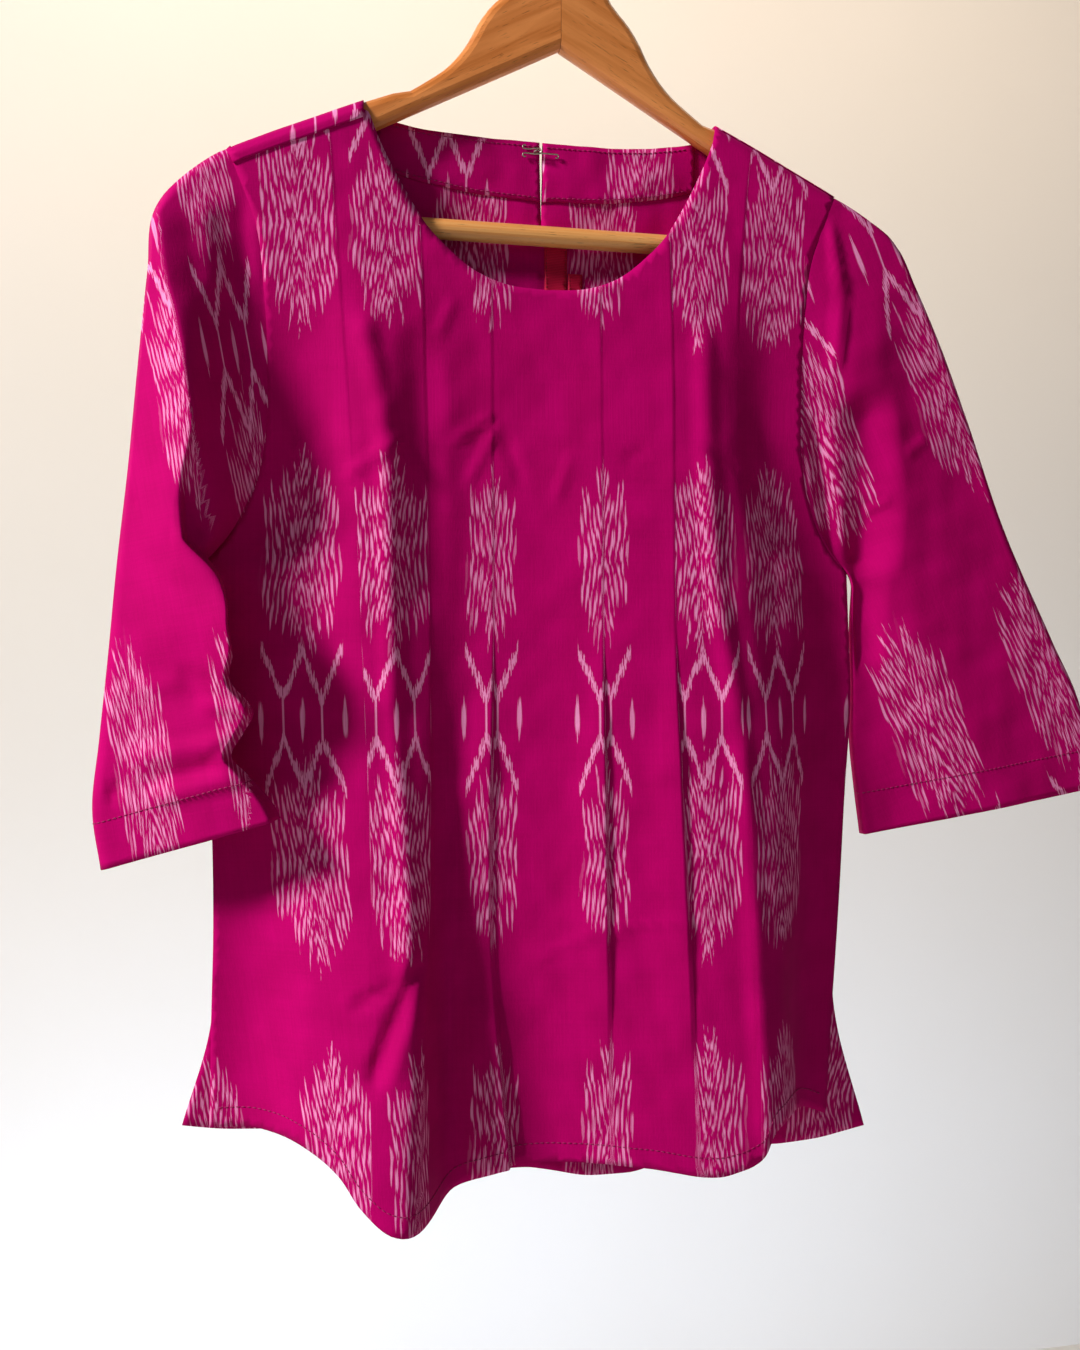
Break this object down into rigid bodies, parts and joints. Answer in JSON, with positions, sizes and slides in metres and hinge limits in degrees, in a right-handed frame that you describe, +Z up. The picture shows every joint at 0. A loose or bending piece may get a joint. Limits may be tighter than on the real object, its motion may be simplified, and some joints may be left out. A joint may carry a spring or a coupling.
{
  "type": "sleeved cotton top on a wooden hanger",
  "caption": "Loose ikat cotton top with a scooped front neck, long sleeves and released front tucks, hanging on a wooden bar hanger with a steel hook.",
  "frame": {"origin": "inner top of the hanger's hook, where a rail carries it", "axes": "+Z up, the front of the top faces -Y, +X to the right as seen from the front, along the hanger"},
  "size_m": [0.6253, 0.1088, 0.8148],
  "materials": {
    "front": "hand-woven cotton, magenta ikat",
    "back": "hand-woven cotton, magenta ikat",
    "sleeve_right": "hand-woven cotton, magenta ikat",
    "sleeve_left": "hand-woven cotton, magenta ikat",
    "neck_facing_right": "hand-woven cotton, magenta ikat",
    "neck_facing_left": "hand-woven cotton, magenta ikat",
    "neck_label": "red woven ribbon, bare",
    "size_label": "red woven ribbon, bare",
    "neck_eye": "bright drawn wire",
    "neck_hook": "bright drawn wire",
    "hanger_arm_right": "varnished orange-brown wood",
    "hanger_arm_left": "varnished orange-brown wood",
    "hanger_bar": "varnished light wood",
    "hanger_hook": "zinc-plated wire"
  },
  "bodies": {
    "root": {"front": "front", "back": "back", "sleeve_right": "sleeve_right", "sleeve_left": "sleeve_left", "neck_facing_right": "neck_facing_right", "neck_facing_left": "neck_facing_left", "neck_label": "neck_label", "size_label": "size_label", "neck_eye": "neck_eye", "neck_hook": "neck_hook", "hanger_arm_right": "hanger_arm_right", "hanger_arm_left": "hanger_arm_left", "hanger_bar": "hanger_bar", "hanger_hook": "hanger_hook"}
  },
  "joints": []
}
